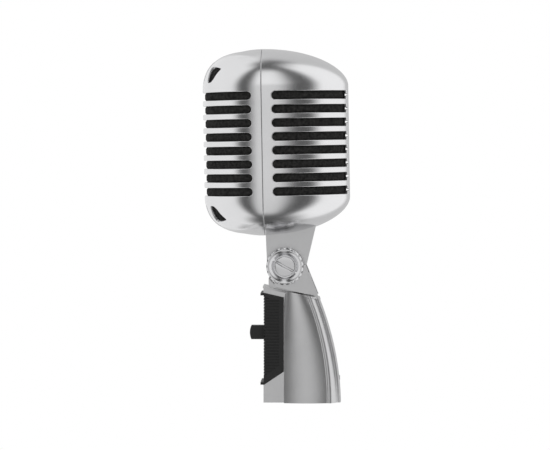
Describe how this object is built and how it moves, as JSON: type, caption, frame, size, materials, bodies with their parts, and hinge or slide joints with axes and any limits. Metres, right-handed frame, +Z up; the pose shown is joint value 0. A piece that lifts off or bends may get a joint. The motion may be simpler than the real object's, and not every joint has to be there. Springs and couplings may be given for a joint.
{
  "type": "side-address vocal microphone",
  "caption": "Retro side-address microphone head with a slotted oval metal case, tilting on a swivel stand adapter that holds an on/off slide switch and a three-pin socket.",
  "frame": {"origin": "centre of the stand thread's mouth on the flat underside", "axes": "+Z up out of the top of the head, -Y out of the side that is spoken to, X along the swivel's bolt"},
  "size_m": [0.056, 0.0787, 0.1883],
  "materials": {
    "satin_chrome": "brushed satin chrome plate over die casting",
    "cast_satin": "satin nickel-grey finish over die casting",
    "polished": "polished chrome",
    "steel": "zinc-plated steel",
    "brass": "turned brass",
    "black_plastic": "moulded, semi-matte black",
    "foam": "open-cell acoustic foam, charcoal",
    "rubber": "soft black rubber",
    "magnet": "sintered magnet",
    "aluminium": "plain aluminium",
    "film": "thin clear plastic film",
    "copper": "enamelled copper winding"
  },
  "bodies": {
    "mount": {"pivot_bolt": "polished", "pivot_nut": "polished", "tension_ring_near": "polished", "tension_ring_far": "polished", "pivot_bush": "brass", "friction_washers": "steel", "mount_body": "cast_satin", "swivel_yoke": "cast_satin", "yoke_screws": "steel", "thread_insert": "brass", "connector_insert": "black_plastic", "connector_pins": "brass", "connector_screw": "steel", "switch_plate": "black_plastic", "switch_plate_screws": "steel", "switch_frame": "steel", "switch_case": "black_plastic", "switch_screws": "steel", "switch_terminals": "brass"},
    "head": {"front_case": "satin_chrome", "rear_case": "satin_chrome", "case_seal": "rubber", "case_screw": "steel", "front_foam": "foam", "rear_foam": "foam", "cartridge_body": "aluminium", "cartridge_grille": "steel", "diaphragm": "film", "voice_coil": "copper", "magnet": "magnet", "magnet_yoke": "steel", "shock_mount": "rubber", "chassis": "steel", "chassis_screws": "steel", "transformer_core": "steel", "transformer_winding": "copper", "neck": "cast_satin", "neck_screws": "steel"},
    "knob": {"switch_knob": "black_plastic", "switch_lever": "steel"}
  },
  "joints": [
    {"name": "head_tilt", "type": "hinge", "parent": "mount", "child": "head", "pos_m": [0, 0.0013, 0.0727], "axis": [1, 0, 0], "range_deg": [-25, 55]},
    {"name": "switch_slide", "type": "slide", "parent": "mount", "child": "knob", "axis": [0, 0, 1], "range_m": [-0.0043, 0]}
  ]
}
